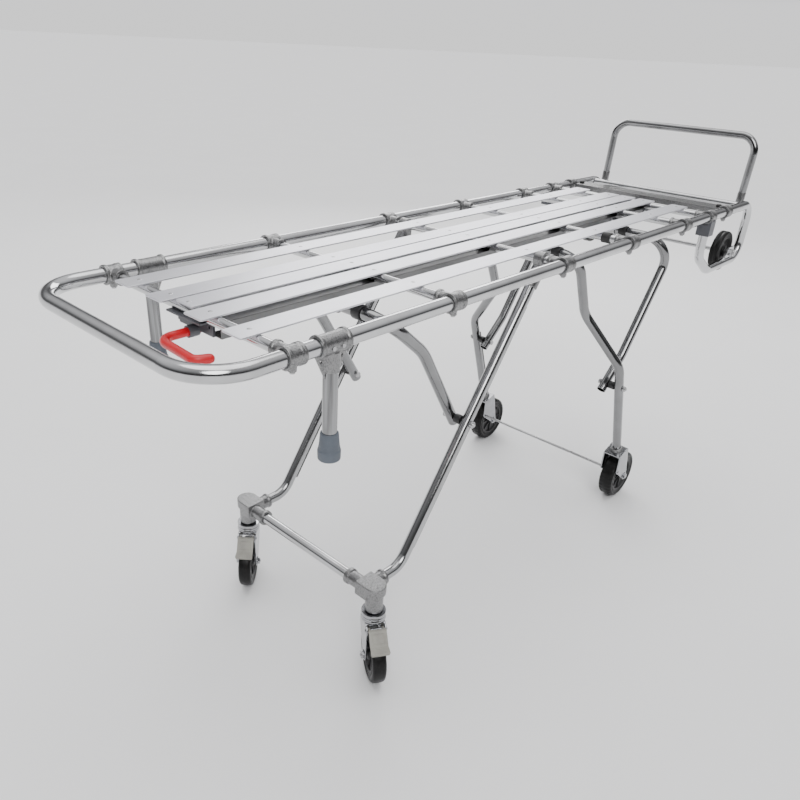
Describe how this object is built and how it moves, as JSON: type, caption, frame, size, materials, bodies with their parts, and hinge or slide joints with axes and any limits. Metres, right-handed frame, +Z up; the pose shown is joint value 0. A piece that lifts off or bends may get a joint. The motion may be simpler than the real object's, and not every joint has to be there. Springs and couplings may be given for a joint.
{
  "type": "stretcher trolley",
  "caption": "Folding roll-in stretcher trolley: tubular frame with metal slats, two folding wheeled leg sets, castors with foot brakes, loading wheels, end handle and release grip.",
  "frame": {"origin": "on the floor, under the centre of the trolley's bounding box", "axes": "+X toward the loading (head) end, +Y to the left seen from the foot end, +Z up"},
  "size_m": [2.0941, 0.5839, 1.058],
  "materials": {
    "rail_tube": "polished tube",
    "casting": "tumbled die casting",
    "slat": "satin anodised strip",
    "channel": "satin anodised channel",
    "chrome": "bright plated",
    "steel": "zinc plated",
    "brass": "passivated",
    "dark_steel": "dark grey powder coat",
    "tip_rubber": "matte",
    "black_rubber": "matte",
    "black_nylon": "matte",
    "red_dip": "dipped vinyl",
    "pedal": "matte",
    "tyre": "solid rubber"
  },
  "bodies": {
    "frame": {"foot_tube": "rail_tube", "rail_near": "rail_tube", "rail_far": "rail_tube", "cross_tubes": "rail_tube", "sleeve_castings": "casting", "post_saddles": "casting", "support_posts": "rail_tube", "rubber_tips": "tip_rubber", "slats": "slat", "rivets": "steel", "slide_track": "channel", "track_bolts": "brass", "track_end_bracket": "dark_steel", "brace_hinge_brackets": "steel", "end_bar": "casting", "bumpers": "black_rubber", "wheel_loop_near": "rail_tube", "wheel_loop_far": "rail_tube", "loop_connectors": "dark_steel", "loading_axle": "steel", "handle_pivots": "steel", "frame_screws": "steel", "stop_clips": "chrome"},
    "loading_wheel_near": {"loading_wheel_near": "tyre"},
    "loading_wheel_far": {"loading_wheel_far": "tyre"},
    "handle": {"head_handle": "rail_tube", "handle_sleeves": "casting"},
    "release": {"release_handle": "red_dip"},
    "leg_a": {"leg_a_clamps": "casting", "leg_a_tubes": "rail_tube", "leg_a_cross_tube": "rail_tube", "corner_castings": "casting", "leg_a_strips": "black_rubber", "leg_a_pivot_bolts": "steel", "leg_a_spacers": "black_nylon", "caster_stems": "chrome"},
    "brace_d": {"brace_d_tube": "rail_tube", "brace_d_bushes": "black_nylon"},
    "carriage_d": {"carriage_d": "black_nylon"},
    "caster_near": {"caster_fork_near": "chrome"},
    "caster_far": {"caster_fork_far": "chrome"},
    "caster_wheel_near": {"caster_hub_near": "black_nylon", "caster_tyre_near": "tyre"},
    "caster_wheel_far": {"caster_hub_far": "black_nylon", "caster_tyre_far": "tyre"},
    "pedal_near": {"brake_pedal_near": "pedal"},
    "pedal_far": {"brake_pedal_far": "pedal"},
    "brace_b": {"brace_b_tube": "rail_tube", "brace_b_bushes": "black_rubber"},
    "leg_c": {"leg_c_tube": "rail_tube", "leg_c_bushes": "black_nylon", "leg_c_strips": "black_rubber", "leg_c_pivot_bolts": "steel", "rear_forks": "chrome", "rear_tie_rod": "steel"},
    "carriage_c": {"carriage_c": "black_nylon"},
    "rear_wheel_near": {"rear_hub_near": "black_nylon", "rear_tyre_near": "tyre"},
    "rear_wheel_far": {"rear_hub_far": "black_nylon", "rear_tyre_far": "tyre"}
  },
  "joints": [
    {"name": "leg_a_fold", "type": "hinge", "parent": "frame", "child": "leg_a", "pos_m": [-0.106, 0, 0.852], "axis": [0, 1, 0], "range_deg": [0, 40]},
    {"name": "brace_d_fold", "type": "hinge", "parent": "leg_a", "child": "brace_d", "pos_m": [-0.32, 0, 0.519], "axis": [0, 1, 0], "range_deg": [-81, 0]},
    {"name": "carriage_d_level", "type": "hinge", "parent": "brace_d", "child": "carriage_d", "pos_m": [-0.5518, 0, 0.797], "axis": [0, 1, 0], "range_deg": [0, 41]},
    {"name": "brace_b_fold", "type": "hinge", "parent": "frame", "child": "brace_b", "pos_m": [0.55, 0, 0.797], "axis": [0, 1, 0], "range_deg": [0, 46]},
    {"name": "leg_c_fold", "type": "hinge", "parent": "brace_b", "child": "leg_c", "pos_m": [0.35, 0, 0.414], "axis": [0, 1, 0], "range_deg": [-96.22, 0]},
    {"name": "carriage_c_level", "type": "hinge", "parent": "leg_c", "child": "carriage_c", "pos_m": [0.18, 0, 0.794], "axis": [0, 1, 0], "range_deg": [0, 50.22]},
    {"name": "caster_near_swivel", "type": "hinge", "parent": "leg_a", "child": "caster_near", "pos_m": [-0.618, -0.22, 0.156], "axis": [0, 0, 1], "continuous": true},
    {"name": "caster_near_roll", "type": "hinge", "parent": "caster_near", "child": "caster_wheel_near", "pos_m": [-0.62944, -0.23761, 0.0635], "axis": [-0.8387, 0.5446, 0], "continuous": true},
    {"name": "pedal_near_press", "type": "hinge", "parent": "caster_near", "child": "pedal_near", "pos_m": [-0.63325, -0.24348, 0.14], "axis": [-0.8387, 0.5446, 0], "range_deg": [-6, 0]},
    {"name": "caster_far_swivel", "type": "hinge", "parent": "leg_a", "child": "caster_far", "pos_m": [-0.618, 0.22, 0.156], "axis": [0, 0, 1], "continuous": true},
    {"name": "caster_far_roll", "type": "hinge", "parent": "caster_far", "child": "caster_wheel_far", "pos_m": [-0.63361, 0.20595, 0.0635], "axis": [-0.6691, 0.7431, 0], "continuous": true},
    {"name": "pedal_far_press", "type": "hinge", "parent": "caster_far", "child": "pedal_far", "pos_m": [-0.63881, 0.20126, 0.14], "axis": [-0.6691, 0.7431, 0], "range_deg": [-6, 0]},
    {"name": "rear_near_roll", "type": "hinge", "parent": "leg_c", "child": "rear_wheel_near", "pos_m": [0.47644, -0.252, 0.075], "axis": [0, 1, 0], "continuous": true},
    {"name": "loading_near_roll", "type": "hinge", "parent": "frame", "child": "loading_wheel_near", "pos_m": [0.965, -0.23, 0.706], "axis": [0, 1, 0], "continuous": true},
    {"name": "rear_far_roll", "type": "hinge", "parent": "leg_c", "child": "rear_wheel_far", "pos_m": [0.47644, 0.252, 0.075], "axis": [0, 1, 0], "continuous": true},
    {"name": "loading_far_roll", "type": "hinge", "parent": "frame", "child": "loading_wheel_far", "pos_m": [0.965, 0.23, 0.706], "axis": [0, 1, 0], "continuous": true},
    {"name": "handle_fold", "type": "hinge", "parent": "frame", "child": "handle", "pos_m": [1.008, 0, 0.8437], "axis": [0, 1, 0], "range_deg": [0, 90]},
    {"name": "release_pull", "type": "slide", "parent": "frame", "child": "release", "axis": [-1, 0, 0], "range_m": [0, 0.014], "stiffness_N_per_m": 400, "springref_m": -0.01}
  ],
  "couplings": [
    {"joint": "brace_d_fold", "follows": "leg_a_fold", "ratio": -2},
    {"joint": "carriage_d_level", "follows": "leg_a_fold", "ratio": 1},
    {"joint": "leg_c_fold", "follows": "brace_b_fold", "ratio": -2.07},
    {"joint": "carriage_c_level", "follows": "brace_b_fold", "ratio": 1.07}
  ]
}
